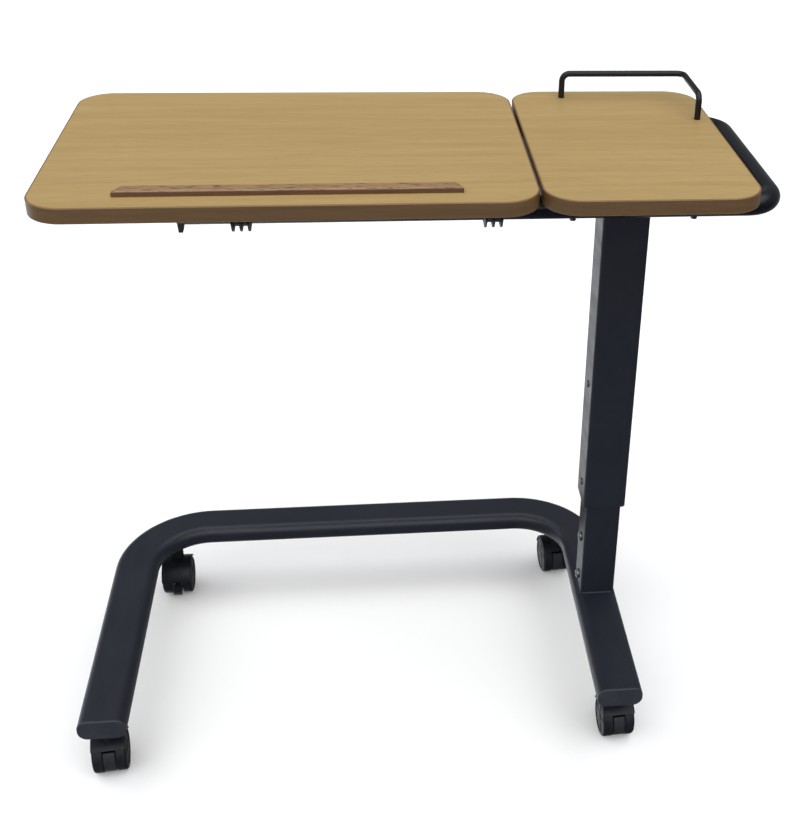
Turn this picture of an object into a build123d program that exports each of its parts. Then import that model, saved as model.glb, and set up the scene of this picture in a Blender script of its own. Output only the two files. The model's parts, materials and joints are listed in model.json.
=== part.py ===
from build123d import *

import os
from math import cos, radians, sin

# Overbed table: split top with a tilting main board, gas-spring column, flat-oval U base on four casters.
# Frame: +X to the handle end, +Y to the back, +Z up, origin on the floor in the middle of the outline.

os.makedirs("parts", exist_ok=True)

# ---------------------------------------------------------------- driving dimensions (mm)
table_height = 811.5
board_thickness = 18.0
board_depth = 390.0
main_length = 550.0
side_length = 250.0
board_gap = 3.0
board_corner = 42.0
board_left = -406.0
board_front = -197.5
band = 2.0
band_round = 1.2

ledge_left = -316.0
ledge_right = 59.0
ledge_front = -168.0
ledge_depth = 16.0
ledge_height = 6.5
ledge_mitre = 9.0
ledge_round = 2.2

wire_diameter = 8.0
wire_height = 32.0
wire_left_x = 214.7
wire_right_x = 378.5
wire_rear_y = 166.0
wire_front_y = 73.5
wire_bend = 10.0

frame_tube_diameter = 27.0
frame_wall = 1.5
frame_bend = 33.0
frame_front_y = -133.5
frame_rear_y = 142.5
handle_x = 426.0
frame_left_x = -250.0
pad_gap = 1.0

cross_bar_width = 16.0
cross_bar_wall = 1.5
cross_bar_corner = 2.0
stay_bar_left_x = -238.0
stay_bar_right_x = 124.0
column_bar_offset = 42.0

stay_diameter = 7.0
stay_pivot_y = -13.5
stay_reach = 130.0
stay_arm_left_x = -221.0
stay_arm_right_x = 107.0
stay_bend = 6.0

column_x = 274.0
column_y = -3.0
outer_x = 60.0
outer_y = 58.0
inner_x = 50.0
inner_y = 48.0
column_wall = 2.0
outer_corner = 5.0
inner_corner = 4.0
outer_bottom = 278.0
outer_top = 764.0
inner_top = 672.0

leg_width = 62.0
leg_height = 30.0
leg_corner = 13.0
leg_top = 119.5
leg_wall = 2.0
leg_left_x = -408.5
leg_right_x = 272.5
base_rear_y = 200.0
base_front_y = -231.0
base_bend = 102.0
cap_head = 3.0
cap_plug = 14.0
cap_plug_wall = 4.0
running_fit = 0.05

gas_pivot_z = 207.0
spigot_bolt_z = 138.0
gas_cylinder_diameter = 28.0
gas_cylinder_bottom = 225.0
gas_cylinder_top = 565.0
gas_rod_diameter = 10.0
gas_rod_bottom = 345.0

release_bottom = 725.0
lever_z = 748.0
lever_pivot_dx = 18.0
lever_thickness = 4.0
lever_width = 18.0

wheel_radius = 28.5
wheel_width = 14.2
wheel_inner = 8.2
wheel_round = 4.0
caster_trail = 7.0
caster_neck_diameter = 20.0
axle_diameter = 8.0
hood_inner = 29.4
hood_outer = 31.8
hood_front = 138.0
hood_rear = 14.0
# each caster: stem x, stem y, turn of the swivel in degrees
casters = {
    "front_left": (-411.8, -197.3, 5.5),
    "front_right": (278.7, -192.0, 3.0),
    "rear_left": (-364.2, 185.8, 180.0),
    "rear_right": (243.5, 180.0, 6.0),
}

# ---------------------------------------------------------------- heights that follow
board_bottom = table_height - board_thickness
main_right = board_left + main_length
side_left = main_right + board_gap
frame_radius = frame_tube_diameter / 2
frame_z = board_bottom - pad_gap - frame_radius
leg_z = leg_top - leg_height / 2
leg_bottom = leg_top - leg_height


def save(builder, name):
    """Label a finished piece and write it to its own file."""
    builder.part.label = name
    export_step(builder.part, f"parts/{name}.step")


# ================================================================ base
with BuildPart() as base_tube:
    with BuildLine() as base_route:
        FilletPolyline(
            (leg_left_x, base_front_y + cap_head, leg_z),
            (leg_left_x, base_rear_y, leg_z),
            (leg_right_x, base_rear_y, leg_z),
            (leg_right_x, base_front_y + cap_head, leg_z),
            radius=base_bend,
        )
    with BuildSketch(Plane.XZ.offset(-(base_front_y + cap_head))) as leg_section:
        with Locations((leg_left_x, leg_z)):
            RectangleRounded(leg_width, leg_height, leg_corner)
            RectangleRounded(
                leg_width - 2 * leg_wall, leg_height - 2 * leg_wall, leg_corner - leg_wall, mode=Mode.SUBTRACT
            )
    sweep(path=base_route.line)

# the stems stand in the flat underside of the tube: two near the leg ends, two on the rear bends
stem_points = [(x, y, 0) for x, y, turn in casters.values()]

stem_thread = 10.0
nut_diameter = 17.0
nut_height = 8.0
inner_floor = leg_bottom + leg_wall

with BuildPart() as drilled_base:
    add(base_tube.part)
    with BuildSketch(Plane.XY.offset(leg_bottom - 1)):
        with Locations([(x, y) for x, y, z in stem_points]):
            Circle(stem_thread / 2 + 2 * running_fit)
    extrude(amount=leg_wall + 2, mode=Mode.SUBTRACT)
save(drilled_base, "base_tube")

with BuildPart() as base_end_caps:
    for leg_x in (leg_left_x, leg_right_x):
        with BuildSketch(Plane.XZ.offset(-base_front_y)):
            with Locations((leg_x, leg_z)):
                RectangleRounded(leg_width, leg_height, leg_corner)
        extrude(amount=-cap_head)
    fillet(base_end_caps.faces().sort_by(Axis.Y)[:2].edges(), cap_head / 2)
    for leg_x in (leg_left_x, leg_right_x):
        with BuildSketch(Plane.XZ.offset(-(base_front_y + cap_head))):
            with Locations((leg_x, leg_z)):
                RectangleRounded(
                    leg_width - 2 * leg_wall - 0.1, leg_height - 2 * leg_wall - 0.1, leg_corner - leg_wall
                )
                RectangleRounded(
                    leg_width - 2 * leg_wall - 2 * cap_plug_wall,
                    leg_height - 2 * leg_wall - 2 * cap_plug_wall,
                    leg_corner - leg_wall - cap_plug_wall,
                    mode=Mode.SUBTRACT,
                )
        extrude(amount=-cap_plug)
save(base_end_caps, "base_end_caps")

with BuildPart() as caster_nuts:
    with BuildSketch(Plane.XY.offset(inner_floor)):
        with Locations([(x, y) for x, y, z in stem_points]):
            Circle(nut_diameter / 2)
            Circle(stem_thread / 2 + running_fit, mode=Mode.SUBTRACT)
    extrude(amount=nut_height)
save(caster_nuts, "caster_weld_nuts")

stem_pin = 8.0
stem_low = 48.0
stem_past_nut = 3.0
collar_height = 0.8
collar_diameter = 16.0
with BuildPart() as caster_stems:
    for x, y, z in stem_points:
        with BuildSketch(Plane.XY.offset(stem_low)):
            with Locations((x, y)):
                Circle(stem_pin / 2)
        extrude(amount=leg_bottom - collar_height - stem_low)
        with BuildSketch(Plane.XY.offset(leg_bottom - collar_height)):
            with Locations((x, y)):
                Circle(collar_diameter / 2)
        extrude(amount=collar_height)
        with BuildSketch(Plane.XY.offset(leg_bottom)):
            with Locations((x, y)):
                Circle(stem_thread / 2)
        extrude(amount=leg_wall + nut_height + stem_past_nut)
save(caster_stems, "caster_stems")

# ================================================================ column, lower half
spigot_gap = 0.2
spigot_x = inner_x - 2 * column_wall - 2 * spigot_gap
spigot_y = inner_y - 2 * column_wall - 2 * spigot_gap
spigot_wall = 3.0
spigot_corner = 2.5
spigot_inner_corner = 1.0
spigot_top = 188.0
bolt_diameter = 8.0
cope_depth = 8.0


def leg_bar_cut():
    """Remove the round-edged leg from a tube end so that it sits on the leg like a coped weld."""
    with BuildSketch(Plane.XZ.offset(-(column_y - 60))) as leg_face:
        with Locations((leg_right_x, leg_z)):
            RectangleRounded(leg_width, leg_height, leg_corner)
    extrude(leg_face.sketch, amount=-120, mode=Mode.SUBTRACT)


with BuildPart() as column_spigot:
    with BuildSketch(Plane.XY.offset(leg_top - cope_depth)):
        with Locations((column_x, column_y)):
            RectangleRounded(spigot_x, spigot_y, spigot_corner)
            RectangleRounded(
                spigot_x - 2 * spigot_wall,
                spigot_y - 2 * spigot_wall,
                spigot_inner_corner,
                mode=Mode.SUBTRACT,
            )
    extrude(amount=spigot_top - leg_top + cope_depth)
    with BuildSketch(Plane.YZ.offset(column_x - 40)):
        with Locations((column_y, spigot_bolt_z)):
            Circle(bolt_diameter / 2 + running_fit)
    extrude(amount=80, mode=Mode.SUBTRACT)
    leg_bar_cut()
save(column_spigot, "column_spigot")

with BuildPart() as lower_tube:
    with BuildSketch(Plane.XY.offset(leg_top - cope_depth)):
        with Locations((column_x, column_y)):
            RectangleRounded(inner_x, inner_y, inner_corner)
            RectangleRounded(
                inner_x - 2 * column_wall,
                inner_y - 2 * column_wall,
                inner_corner - column_wall,
                mode=Mode.SUBTRACT,
            )
    extrude(amount=inner_top - leg_top + cope_depth)
    with BuildSketch(Plane.YZ.offset(column_x - 40)):
        with Locations((column_y, spigot_bolt_z), (column_y, gas_pivot_z)):
            Circle(bolt_diameter / 2 + running_fit)
    extrude(amount=40, mode=Mode.SUBTRACT)
    with BuildSketch(Plane.YZ.offset(column_x)):
        with Locations((column_y, gas_pivot_z)):
            Circle(bolt_diameter / 2 + running_fit)
    extrude(amount=40, mode=Mode.SUBTRACT)
    leg_bar_cut()
save(lower_tube, "lower_column_tube")

bolt_head_diameter = 14.0
bolt_head_height = 4.4
bolt_head_round = 3.4
bolt_socket_radius = 2.9
bolt_socket_depth = 2.4
left_face_x = column_x - inner_x / 2
with BuildPart() as column_bolts:
    for bolt_z, bolt_end in ((spigot_bolt_z, column_x + spigot_x / 2), (gas_pivot_z, column_x + inner_x / 2)):
        with BuildSketch(Plane.YZ.offset(left_face_x)):
            with Locations((column_y, bolt_z)):
                Circle(bolt_diameter / 2)
        extrude(amount=bolt_end - left_face_x)
        with BuildSketch(Plane.YZ.offset(left_face_x)):
            with Locations((column_y, bolt_z)):
                Circle(bolt_head_diameter / 2)
        extrude(amount=-bolt_head_height)
    fillet(column_bolts.faces().filter_by(Axis.X).sort_by(Axis.X)[:2].edges(), bolt_head_round)
    with BuildSketch(Plane.YZ.offset(left_face_x - bolt_head_height)):
        with Locations((column_y, spigot_bolt_z), (column_y, gas_pivot_z)):
            RegularPolygon(bolt_socket_radius, 6)
    extrude(amount=bolt_socket_depth, mode=Mode.SUBTRACT)
save(column_bolts, "column_bolts")

# ================================================================ gas spring
cylinder_wall = 1.5
cylinder_cap = 15.0
eye_width = 14.0
eye_radius = 10.0
eye_neck_radius = 6.0
with BuildPart() as gas_cylinder:
    with BuildSketch(Plane.XY.offset(gas_cylinder_bottom)):
        with Locations((column_x, column_y)):
            Circle(gas_cylinder_diameter / 2)
    extrude(amount=gas_cylinder_top - gas_cylinder_bottom)
    fillet(gas_cylinder.edges().group_by(Axis.Z)[0] + gas_cylinder.edges().group_by(Axis.Z)[-1], 2)
    with BuildSketch(Plane.XY.offset(gas_cylinder_bottom + cylinder_cap)):
        with Locations((column_x, column_y)):
            Circle(gas_cylinder_diameter / 2 - cylinder_wall)
    extrude(amount=gas_cylinder_top - gas_cylinder_bottom - 2 * cylinder_cap, mode=Mode.SUBTRACT)
    with BuildSketch(Plane.XY.offset(gas_cylinder_top - cylinder_cap - 1)):
        with Locations((column_x, column_y)):
            Circle(gas_rod_diameter / 2 + 0.1)
    extrude(amount=cylinder_cap + 2, mode=Mode.SUBTRACT)
    with BuildSketch(Plane.XY.offset(gas_pivot_z + eye_neck_radius)):
        with Locations((column_x, column_y)):
            Circle(eye_neck_radius)
    extrude(amount=gas_cylinder_bottom - gas_pivot_z - eye_neck_radius + 1)
    with BuildSketch(Plane.YZ.offset(column_x - eye_width / 2)):
        with Locations((column_y, gas_pivot_z)):
            Circle(eye_radius)
    extrude(amount=eye_width)
    with BuildSketch(Plane.YZ.offset(column_x - eye_width / 2)):
        with Locations((column_y, gas_pivot_z)):
            Circle(bolt_diameter / 2 + running_fit)
    extrude(amount=eye_width, mode=Mode.SUBTRACT)
save(gas_cylinder, "gas_spring_cylinder")

inner_half = inner_x / 2 - column_wall
spacer_radius = 7.0
with BuildPart() as gas_spacers:
    for start, stop in ((-inner_half + 0.1, -eye_width / 2 - 0.1), (eye_width / 2 + 0.1, inner_half - 0.1)):
        with BuildSketch(Plane.YZ.offset(column_x + start)):
            with Locations((column_y, gas_pivot_z)):
                Circle(spacer_radius)
                Circle(bolt_diameter / 2 + running_fit, mode=Mode.SUBTRACT)
        extrude(amount=stop - start)
save(gas_spacers, "gas_spring_spacers")

valve_pin_diameter = 4.0
valve_pin_in_rod = 16.0
piston_length = 12.0
rod_top = release_bottom + 12
with BuildPart() as gas_rod:
    with BuildSketch(Plane.XY.offset(gas_rod_bottom)):
        with Locations((column_x, column_y)):
            Circle(gas_cylinder_diameter / 2 - cylinder_wall - 0.1)
    extrude(amount=piston_length)
    with BuildSketch(Plane.XY.offset(gas_rod_bottom)):
        with Locations((column_x, column_y)):
            Circle(gas_rod_diameter / 2)
    extrude(amount=rod_top - gas_rod_bottom)
    with BuildSketch(Plane.XY.offset(rod_top - valve_pin_in_rod - 4)):
        with Locations((column_x, column_y)):
            Circle(valve_pin_diameter / 2 + 0.1)
    extrude(amount=valve_pin_in_rod + 5, mode=Mode.SUBTRACT)
save(gas_rod, "gas_spring_rod")

lever_low = lever_z - lever_thickness / 2
with BuildPart() as valve_pin:
    with BuildSketch(Plane.XY.offset(rod_top - valve_pin_in_rod)):
        with Locations((column_x, column_y)):
            Circle(valve_pin_diameter / 2)
    extrude(amount=lever_low - 0.3 - rod_top + valve_pin_in_rod)
save(valve_pin, "gas_valve_pin")

# ================================================================ column, upper half
slot_height = 11.0
slot_width = 22.0
glide_screw_z = (305.0, 466.0)
glide_screw_diameter = 6.0
with BuildPart() as upper_tube:
    with BuildSketch(Plane.XY.offset(outer_bottom)):
        with Locations((column_x, column_y)):
            RectangleRounded(outer_x, outer_y, outer_corner)
            RectangleRounded(
                outer_x - 2 * column_wall,
                outer_y - 2 * column_wall,
                outer_corner - column_wall,
                mode=Mode.SUBTRACT,
            )
    extrude(amount=outer_top - outer_bottom)
    with BuildSketch(Plane.YZ.offset(column_x)):
        with Locations((column_y, lever_z + 0.5)):
            RectangleRounded(slot_width, slot_height, 3)
    extrude(amount=outer_x, mode=Mode.SUBTRACT)
    with BuildSketch(Plane.YZ.offset(column_x)):
        with Locations(*[(column_y, z) for z in glide_screw_z]):
            Circle(glide_screw_diameter / 2 + running_fit)
    extrude(amount=-outer_x, mode=Mode.SUBTRACT)
save(upper_tube, "upper_column_tube")

glide_gap = 0.12
glide_out_x = outer_x - 2 * column_wall - 0.1
glide_out_y = outer_y - 2 * column_wall - 0.1
lower_glide_height = 44.0
upper_glide_height = 28.0
glide_in_x = inner_x + 2 * glide_gap
glide_in_y = inner_y + 2 * glide_gap


def glide_ring(bottom, height):
    """Plastic sleeve filling the gap between the two column tubes."""
    with BuildSketch(Plane.XY.offset(bottom)) as ring_face:
        with Locations((column_x, column_y)):
            RectangleRounded(glide_out_x, glide_out_y, outer_corner - column_wall)
            RectangleRounded(glide_in_x, glide_in_y, inner_corner, mode=Mode.SUBTRACT)
    extrude(ring_face.sketch, amount=height)


def screw_bore(z):
    """Blind pocket for the locating screw of a glide sleeve."""
    with BuildSketch(Plane.YZ.offset(column_x - outer_x / 2 - 1)) as bore_face:
        with Locations((column_y, z)):
            Circle(glide_screw_diameter / 2 + running_fit)
    extrude(bore_face.sketch, amount=column_wall + 2.6, mode=Mode.SUBTRACT)


with BuildPart() as lower_glide:
    glide_ring(outer_bottom + 0.5, lower_glide_height)
    screw_bore(glide_screw_z[0])
save(lower_glide, "lower_glide_sleeve")

with BuildPart() as upper_glide:
    glide_ring(glide_screw_z[1] - upper_glide_height / 2, upper_glide_height)
    screw_bore(glide_screw_z[1])
save(upper_glide, "upper_glide_sleeve")

screw_face_x = column_x - outer_x / 2
glide_head_radius = 5.0
glide_head_height = 2.2
recess_length = 6.0
recess_width = 1.2
recess_depth = 1.4
with BuildPart() as glide_screws:
    with BuildSketch(Plane.YZ.offset(screw_face_x)):
        with Locations(*[(column_y, z) for z in glide_screw_z]):
            Circle(glide_screw_diameter / 2)
    extrude(amount=column_wall + 1.4)
    with BuildSketch(Plane.YZ.offset(screw_face_x)):
        with Locations(*[(column_y, z) for z in glide_screw_z]):
            Circle(glide_head_radius)
    extrude(amount=-glide_head_height)
    chamfer(glide_screws.faces().filter_by(Axis.X).sort_by(Axis.X)[:2].edges(), 1.0)
    with BuildSketch(Plane.YZ.offset(screw_face_x - glide_head_height)):
        with Locations(*[(column_y, z) for z in glide_screw_z]):
            Rectangle(recess_width, recess_length)
            Rectangle(recess_length, recess_width)
    extrude(amount=recess_depth, mode=Mode.SUBTRACT)
save(glide_screws, "glide_screws")

plate_thickness = 5.0
plate_x = 108.0
plate_y = 120.0
plate_top = outer_top + plate_thickness
bar_bottom = plate_top
bar_top = frame_z + (frame_z - bar_bottom)
plate_bolt_y = 46.0
plate_hole_radius = 4.1
hex_across_flats = 13.0
hex_head_height = 5.0
release_screw_x = 12.0
release_screw_radius = 2.5
release_screw_head_radius = 4.5
release_screw_head_height = 3.0
release_screw_grip = 6.5
with BuildPart() as head_plate:
    with BuildSketch(Plane.XY.offset(outer_top)):
        with Locations((column_x, column_y)):
            RectangleRounded(plate_x, plate_y, 6)
        with Locations((column_x, column_y)):
            with GridLocations(2 * column_bar_offset, 2 * plate_bolt_y, 2, 2):
                Circle(plate_hole_radius, mode=Mode.SUBTRACT)
        with Locations((column_x - release_screw_x, column_y), (column_x + release_screw_x, column_y)):
            Circle(release_screw_radius + running_fit, mode=Mode.SUBTRACT)
    extrude(amount=plate_thickness)
save(head_plate, "column_head_plate")

with BuildPart() as plate_bolts:
    with Locations((column_x, column_y, outer_top)):
        with GridLocations(2 * column_bar_offset, 2 * plate_bolt_y, 2, 2):
            Cylinder(
                bolt_diameter / 2,
                bar_top + 1 - outer_top,
                align=(Align.CENTER, Align.CENTER, Align.MIN),
            )
    for dx in (-column_bar_offset, column_bar_offset):
        for dy in (-plate_bolt_y, plate_bolt_y):
            with BuildSketch(Plane.XY.offset(outer_top)):
                with Locations((column_x + dx, column_y + dy)):
                    RegularPolygon(hex_across_flats / 2, 6, major_radius=False)
            extrude(amount=-hex_head_height)
save(plate_bolts, "head_plate_bolts")

head_block_x = 40.0
head_block_y = 30.0
lever_pin_radius = 2.5
with BuildPart() as release_head:
    with BuildSketch(Plane.XY.offset(release_bottom)):
        with Locations((column_x + 2, column_y)):
            RectangleRounded(head_block_x, head_block_y, 3)
    extrude(amount=outer_top - release_bottom)
    with BuildSketch(Plane.XY.offset(release_bottom - 1)):
        with Locations((column_x, column_y)):
            Circle(gas_rod_diameter / 2 + running_fit)
    extrude(amount=rod_top - release_bottom + 1.1, mode=Mode.SUBTRACT)
    # cavity for the lever, open towards the handle end
    with BuildSketch(Plane.XZ.offset(-(column_y - 10))):
        with BuildLine():
            Polyline(
                (column_x - 13, rod_top - 0.1),
                (column_x + 8, rod_top - 0.1),
                (column_x + 30, lever_z - 6),
                (column_x + 30, lever_z + 8),
                (column_x - 13, lever_z + 5),
                close=True,
            )
        make_face()
    extrude(amount=-20, mode=Mode.SUBTRACT)
    with BuildSketch(Plane.XZ.offset(-(column_y - 20))):
        with Locations((column_x + lever_pivot_dx, lever_z)):
            Circle(lever_pin_radius)
    extrude(amount=-40, mode=Mode.SUBTRACT)
    with BuildSketch(Plane.XY.offset(outer_top - release_screw_grip - 0.5)):
        with Locations((column_x - release_screw_x, column_y), (column_x + release_screw_x, column_y)):
            Circle(release_screw_radius + running_fit)
    extrude(amount=release_screw_grip + 1, mode=Mode.SUBTRACT)
save(release_head, "release_head")

with BuildPart() as release_screws:
    for screw_x in (column_x - release_screw_x, column_x + release_screw_x):
        with BuildSketch(Plane.XY.offset(outer_top - release_screw_grip)):
            with Locations((screw_x, column_y)):
                Circle(release_screw_radius)
        extrude(amount=release_screw_grip + plate_thickness)
        with BuildSketch(Plane.XY.offset(plate_top)):
            with Locations((screw_x, column_y)):
                Circle(release_screw_head_radius)
        extrude(amount=release_screw_head_height)
    fillet(release_screws.faces().filter_by(Axis.Z).group_by(Axis.Z)[-1].edges(), 1.5)
save(release_screws, "release_head_screws")

# ================================================================ release lever
lever_reach = 142.0
paddle_drop = 10.0
lever_eye_radius = 4.5
with BuildPart() as release_lever:
    with BuildSketch(Plane.XZ.offset(-(column_y - lever_width / 2))):
        with BuildLine():
            Polyline(
                (column_x - 7, lever_z - lever_thickness / 2),
                (column_x + 42, lever_z - lever_thickness / 2),
                (column_x + 62, lever_z - lever_thickness / 2 - paddle_drop),
                (column_x + lever_reach, lever_z - lever_thickness / 2 - paddle_drop),
                (column_x + lever_reach, lever_z + lever_thickness / 2 - paddle_drop),
                (column_x + 64, lever_z + lever_thickness / 2 - paddle_drop),
                (column_x + 44, lever_z + lever_thickness / 2),
                (column_x - 7, lever_z + lever_thickness / 2),
                close=True,
            )
        make_face()
        with Locations((column_x + lever_pivot_dx, lever_z)):
            Circle(lever_eye_radius)
    extrude(amount=-lever_width)
    with BuildSketch(Plane.XZ.offset(-(column_y - 20))):
        with Locations((column_x + lever_pivot_dx, lever_z)):
            Circle(lever_pin_radius + 2 * running_fit)
    extrude(amount=-40, mode=Mode.SUBTRACT)
save(release_lever, "release_lever")

with BuildPart() as lever_pin:
    with BuildSketch(Plane.XZ.offset(-(column_y - head_block_y / 2))):
        with Locations((column_x + lever_pivot_dx, lever_z)):
            Circle(lever_pin_radius)
    extrude(amount=-head_block_y)
save(lever_pin, "lever_pivot_pin")

grip_length = 66.0
grip_wall = 4.0
with BuildPart() as lever_grip:
    with BuildSketch(Plane.YZ.offset(column_x + lever_reach - grip_length + 4)):
        with Locations((column_y, lever_z - paddle_drop)):
            RectangleRounded(lever_width + 2 * grip_wall, lever_thickness + 2 * grip_wall, grip_wall + 1)
    extrude(amount=grip_length)
    fillet(lever_grip.faces().filter_by(Axis.X).edges(), 3)
    with BuildSketch(Plane.YZ.offset(column_x + lever_reach - grip_length)):
        with Locations((column_y, lever_z - paddle_drop)):
            Rectangle(lever_width + 0.1, lever_thickness + 0.1)
    extrude(amount=grip_length + 0.1, mode=Mode.SUBTRACT)
save(lever_grip, "lever_grip")

# ================================================================ top frame
side_screw_x = (187.0, 329.5)
side_screw_diameter = 4.5
side_screw_hold = 13.0
side_screw_head_radius = 4.2
side_screw_head_height = 2.8
head_taper = 12
pad_radius = 7.0
pad_height = 3.0
handle_start_y = frame_front_y + frame_bend
handle_stop_y = frame_rear_y - frame_bend
bend_start_x = handle_x - frame_bend

# two rails, each bent through a right angle at the handle end and drilled for the side board's screws
with BuildPart() as frame_rails:
    for rail_y, turn in ((frame_front_y, 1), (frame_rear_y, -1)):
        with BuildLine() as rail_route:
            Line((frame_left_x, rail_y, frame_z), (bend_start_x, rail_y, frame_z))
            ThreePointArc(
                (bend_start_x, rail_y, frame_z),
                (
                    bend_start_x + frame_bend * sin(radians(45)),
                    rail_y + turn * frame_bend * (1 - cos(radians(45))),
                    frame_z,
                ),
                (handle_x, rail_y + turn * frame_bend, frame_z),
            )
        with BuildSketch(Plane.YZ.offset(frame_left_x)):
            with Locations((rail_y, frame_z)):
                Circle(frame_radius)
                Circle(frame_radius - frame_wall, mode=Mode.SUBTRACT)
        sweep(path=rail_route.line)
    with BuildSketch(Plane.XY.offset(frame_z - 20)):
        for rail_y in (frame_front_y, frame_rear_y):
            with Locations(*[(x, rail_y) for x in side_screw_x]):
                Circle(side_screw_diameter / 2 + running_fit)
    extrude(amount=40, mode=Mode.SUBTRACT)
save(frame_rails, "top_frame_rails")

# the straight handle, the middle of the same bent tube, kept as a solid of its own
with BuildPart() as handle_tube:
    with BuildSketch(Plane.XZ.offset(-handle_start_y)):
        with Locations((handle_x, frame_z)):
            Circle(frame_radius)
            Circle(frame_radius - frame_wall, mode=Mode.SUBTRACT)
    extrude(amount=-(handle_stop_y - handle_start_y))
save(handle_tube, "handle_tube")

with BuildPart() as side_screws:
    for rail_y in (frame_front_y, frame_rear_y):
        for x in side_screw_x:
            with BuildSketch(Plane.XY.offset(frame_z - frame_radius)):
                with Locations((x, rail_y)):
                    Circle(side_screw_diameter / 2)
            extrude(amount=frame_tube_diameter + pad_gap + side_screw_hold)
            with BuildSketch(Plane.XY.offset(frame_z - frame_radius)):
                with Locations((x, rail_y)):
                    Circle(side_screw_head_radius)
            extrude(amount=-side_screw_head_height, taper=head_taper)
save(side_screws, "side_board_screws")

with BuildPart() as spacers:
    for rail_y in (frame_front_y, frame_rear_y):
        with BuildSketch(Plane.XY.offset(board_bottom - pad_height)):
            with Locations(*[(x, rail_y) for x in side_screw_x]):
                Circle(pad_radius)
                Circle(side_screw_diameter / 2 + running_fit, mode=Mode.SUBTRACT)
        extrude(amount=pad_height)
        with BuildSketch(Plane.YZ.offset(side_screw_x[0] - 20)):
            with Locations((rail_y, frame_z)):
                Circle(frame_radius + 0.02)
        extrude(amount=side_screw_x[1] - side_screw_x[0] + 40, mode=Mode.SUBTRACT)
save(spacers, "side_board_spacers")

bar_length = frame_rear_y - frame_front_y
bar_height = bar_top - bar_bottom
bar_x = (stay_bar_left_x, stay_bar_right_x, column_x - column_bar_offset, column_x + column_bar_offset)


def rail_cope():
    """Cut the rails' round outlines out of the bar ends so that the bars meet them like saddle welds."""
    with BuildSketch(Plane.YZ.offset(bar_x[0] - 40)) as rail_faces:
        with Locations((frame_front_y, frame_z), (frame_rear_y, frame_z)):
            Circle(frame_radius)
    extrude(rail_faces.sketch, amount=bar_x[3] - bar_x[0] + 80, mode=Mode.SUBTRACT)


with BuildPart() as cross_bars:
    with BuildSketch(Plane.XZ.offset(-frame_front_y)):
        with Locations(*[(x, frame_z) for x in bar_x]):
            RectangleRounded(cross_bar_width, bar_height, cross_bar_corner)
            RectangleRounded(
                cross_bar_width - 2 * cross_bar_wall,
                bar_height - 2 * cross_bar_wall,
                cross_bar_corner - 1.2,
                mode=Mode.SUBTRACT,
            )
    extrude(amount=-bar_length)
    rail_cope()
    with BuildSketch(Plane.XY.offset(bar_bottom - 1)):
        with Locations((column_x, column_y)):
            with GridLocations(2 * column_bar_offset, 2 * plate_bolt_y, 2, 2):
                Circle(plate_hole_radius)
    extrude(amount=bar_height + 2, mode=Mode.SUBTRACT)
    # pivot holes of the prop stay, in the facing walls of the two left bars
    with BuildSketch(Plane.YZ.offset(stay_bar_left_x)):
        with Locations((stay_pivot_y, frame_z)):
            Circle(stay_diameter / 2 + 0.08)
    extrude(amount=stay_bar_right_x - stay_bar_left_x, mode=Mode.SUBTRACT)
save(cross_bars, "frame_cross_bars")

lug_drop = 22.5
plug_depth = 14.0
plug_wall = 1.0
plug_head = 5.0
with BuildPart() as rail_plugs:
    for rail_y in (frame_front_y, frame_rear_y):
        with BuildSketch(Plane.YZ.offset(frame_left_x)):
            with Locations((rail_y, frame_z)):
                Circle(frame_radius - frame_wall - running_fit)
                Circle(frame_radius - frame_wall - 2.5 * plug_wall, mode=Mode.SUBTRACT)
        extrude(amount=plug_depth)
        with BuildSketch(Plane.YZ.offset(frame_left_x)):
            with Locations((rail_y, frame_z)):
                Circle(frame_radius)
        extrude(amount=-plug_head)
    for rail_y in (frame_front_y, frame_rear_y):
        # tapered stop lug under the end of the rail
        with BuildSketch(Plane.XY.offset(frame_z - lug_drop)):
            with Locations((frame_left_x - 2.5, rail_y)):
                Rectangle(4.8, 8)
        with BuildSketch(Plane.XY.offset(frame_z - frame_radius + 2)):
            with Locations((frame_left_x - 1.4, rail_y)):
                Rectangle(8, 11)
        loft()
    for rail_y in (frame_front_y, frame_rear_y):
        with BuildSketch(Plane.YZ.offset(frame_left_x)):
            with Locations((rail_y, frame_z)):
                Circle(frame_radius + running_fit)
                Circle(frame_radius - frame_wall - running_fit, mode=Mode.SUBTRACT)
        extrude(amount=20, mode=Mode.SUBTRACT)
save(rail_plugs, "rail_end_plugs")

# ================================================================ boards
board_screw_diameter = 4.0
screw_head_radius = 3.8
counterbore = 8.0
counterbore_depth = 3.0
clip_x = (-186.0, 94.5)
clip_screw_y = 22.5
rack_x = (-196.0, 82.0)
rack_screw_t = (200.0, 250.0)
clip_screw_points = [(x, frame_front_y + s * clip_screw_y) for x in clip_x for s in (-1, 1)]
rack_screw_points = [(x, frame_front_y + t) for x in rack_x for t in rack_screw_t]
ledge_screw_points = [(-270.0, ledge_front + 8), (-128.5, ledge_front + 8), (13.0, ledge_front + 8)]
wire_points = [(wire_left_x, wire_rear_y), (wire_right_x, wire_front_y)]


def board_blank(left, length):
    """Panel core inside its edge band."""
    with BuildSketch(Plane.XY.offset(board_bottom)) as core_face:
        with Locations((left + length / 2, board_front + board_depth / 2)):
            RectangleRounded(length - 2 * band, board_depth - 2 * band, board_corner - band)
    extrude(core_face.sketch, amount=board_thickness)


def board_band(left, length):
    """Full outline of a panel, edge band included."""
    with BuildSketch(Plane.XY.offset(board_bottom)) as outline_face:
        with Locations((left + length / 2, board_front + board_depth / 2)):
            RectangleRounded(length, board_depth, board_corner)
    extrude(outline_face.sketch, amount=board_thickness)


def drill(points, diameter, bottom, depth):
    """Upright clearance holes at the given points."""
    with BuildSketch(Plane.XY.offset(bottom)) as hole_faces:
        with Locations(*points):
            Circle(diameter / 2 + running_fit)
    extrude(hole_faces.sketch, amount=depth, mode=Mode.SUBTRACT)


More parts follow.
